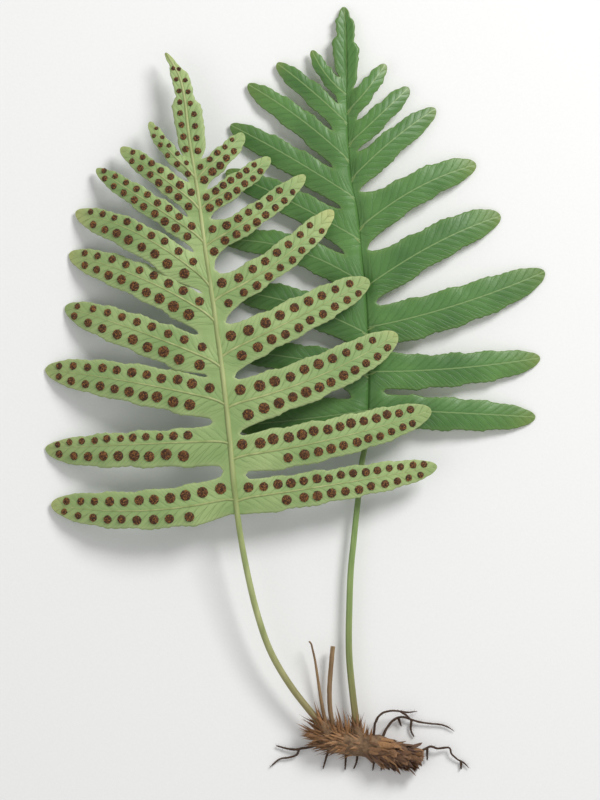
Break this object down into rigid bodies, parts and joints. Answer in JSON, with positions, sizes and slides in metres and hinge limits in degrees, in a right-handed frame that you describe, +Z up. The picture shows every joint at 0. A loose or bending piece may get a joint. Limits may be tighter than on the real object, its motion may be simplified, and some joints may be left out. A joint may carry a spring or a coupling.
{
  "type": "polypody fern plant",
  "caption": "Uprooted polypody fern laid flat: one frond underside up with spore heaps, one upper side up, on a short scaly rhizome with stipe stubs and roots.",
  "frame": {"origin": "middle of the small flat spot under the rhizome, on the surface that the plant lies on", "axes": "+Y along the fronds towards their tips, +Z up from the surface, +X to the right as the fronds point away"},
  "size_m": [0.2145, 0.3282, 0.0206],
  "materials": {
    "scaly_rhizome": "matte",
    "leaf_underside": "matte",
    "leaf_upper_side": "satin",
    "dry_stipe": "matte",
    "root": "matte"
  },
  "bodies": {
    "root": {"rhizome": "scaly_rhizome", "frond_front": "leaf_underside", "frond_back": "leaf_upper_side", "stipe_stub_thin": "dry_stipe", "stipe_stub_thick": "dry_stipe", "root_left": "root", "root_right": "root", "root_arch_upper": "root", "root_arch_lower": "root", "root_short_1": "root", "root_short_2": "root", "root_short_3": "root", "root_short_4": "root", "root_short_5": "root"}
  },
  "joints": []
}
